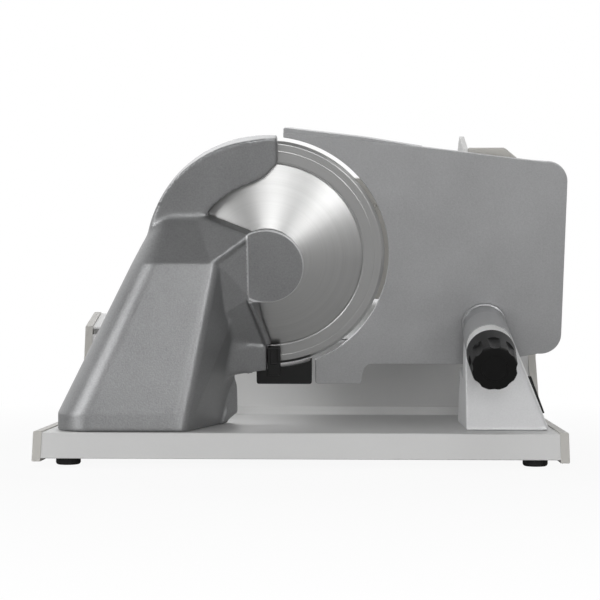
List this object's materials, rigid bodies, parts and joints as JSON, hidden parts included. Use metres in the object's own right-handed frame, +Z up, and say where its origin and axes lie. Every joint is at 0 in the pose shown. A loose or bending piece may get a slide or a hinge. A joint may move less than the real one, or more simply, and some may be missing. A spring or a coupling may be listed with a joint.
{
  "type": "food slicer",
  "caption": "Food slicer with a tilted round blade in a cast aluminium tower, gauge plate with a black knob, sliding carriage and finger guard on an aluminium base",
  "frame": {"origin": "middle of the footprint of the whole machine on the table, at the bottom of the rubber feet", "axes": "+X along the base to the right seen from the slice side, +Y back towards the operator and the carriage side, +Z up"},
  "size_m": [0.3793, 0.2952, 0.2421],
  "materials": {
    "alu_profile": "satin",
    "alu_cast": "satin",
    "alu_plate": "satin",
    "greige": "satin",
    "black": "matte",
    "steel": "satin",
    "brass": "satin",
    "rubber": "matte",
    "ivory": "satin",
    "green": "gloss",
    "red": "gloss",
    "board": "gloss",
    "white": "gloss",
    "scale": "satin"
  },
  "bodies": {
    "machine_body": {"base_profile": "alu_profile", "rear_housing": "alu_profile", "left_end_cap": "greige", "right_end_cap": "greige", "bottom_cover": "black", "bottom_cover_screws": "steel", "rubber_feet": "rubber", "foot_screws": "steel", "tower_housing": "alu_cast", "tower_back_cover": "black", "back_cover_screws": "steel", "tower_screws": "steel", "blade_foot_guard": "black", "foot_guard_screws": "steel", "hub_axle": "steel", "worm_bush": "brass", "motor_can": "steel", "motor_bearings": "brass", "motor_bracket": "alu_profile", "motor_screws": "steel", "circuit_board": "board", "run_capacitor": "white", "switch_block": "black", "power_spring": "steel", "safety_spring": "steel", "cord_gland": "black", "knob_pedestal": "alu_cast", "pedestal_cover": "black", "pedestal_screws": "steel", "scale_ring": "scale"},
    "blade_unit": {"worm_wheel": "ivory", "worm_wheel_bush": "brass", "blade_carrier": "alu_cast", "carrier_screws": "steel", "blade": "steel", "blade_lock_screw": "black"},
    "worm_unit": {"worm_shaft": "steel", "shaft_coupling": "black", "motor_rotor": "brass"},
    "knob_unit": {"thickness_knob": "black", "knob_screw": "black", "adjusting_spindle": "steel"},
    "gauge_unit": {"gauge_plate": "alu_plate", "gauge_tube": "alu_cast", "gauge_plate_screws": "steel", "gauge_guide_pin": "steel", "spindle_nut": "brass"},
    "carriage": {"carriage_table": "alu_profile", "carriage_runners": "black", "runner_screws": "steel", "thrust_wall": "alu_profile", "thrust_wall_screws": "steel", "finger_guard": "greige"},
    "holder": {"remnant_holder": "greige", "holder_grip": "black", "holder_runner": "black"},
    "power_button_body": {"power_button": "green"},
    "safety_button_body": {"safety_button": "red"}
  },
  "joints": [
    {"name": "blade_spin", "type": "hinge", "parent": "machine_body", "child": "blade_unit", "pos_m": [-0.02615, -0.06594, 0.1515], "axis": [0, -0.9537, -0.3007], "continuous": true},
    {"name": "motor_spin", "type": "hinge", "parent": "machine_body", "child": "worm_unit", "pos_m": [-0.05034, -0.09318, 0.1564], "axis": [-0.4695, 0.2655, -0.8421], "continuous": true},
    {"name": "knob_turn", "type": "hinge", "parent": "machine_body", "child": "knob_unit", "pos_m": [0.13255, -0.0498, 0.10028], "axis": [0, -0.9537, -0.3007], "range_deg": [0, 300]},
    {"name": "gauge_slide", "type": "slide", "parent": "machine_body", "child": "gauge_unit", "axis": [0, -0.9537, -0.3007], "range_m": [0, 0.015]},
    {"name": "carriage_slide", "type": "slide", "parent": "machine_body", "child": "carriage", "axis": [1, 0, 0], "range_m": [-0.174, 0]},
    {"name": "holder_slide", "type": "slide", "parent": "carriage", "child": "holder", "axis": [0, 0.9537, 0.3007], "range_m": [-0.08, 0]},
    {"name": "power_button_press", "type": "slide", "parent": "machine_body", "child": "power_button_body", "axis": [0, -1, 0], "range_m": [0, 0.003], "stiffness_N_per_m": 900, "springref_m": -0.0004, "deforming": ["power_spring"]},
    {"name": "safety_button_press", "type": "slide", "parent": "machine_body", "child": "safety_button_body", "axis": [0, -1, 0], "range_m": [0, 0.003], "stiffness_N_per_m": 900, "springref_m": -0.0004, "deforming": ["safety_spring"]}
  ],
  "couplings": [
    {"joint": "motor_spin", "follows": "blade_spin", "ratio": 32},
    {"joint": "knob_turn", "follows": "gauge_slide", "rad_per_m": 349.06}
  ]
}
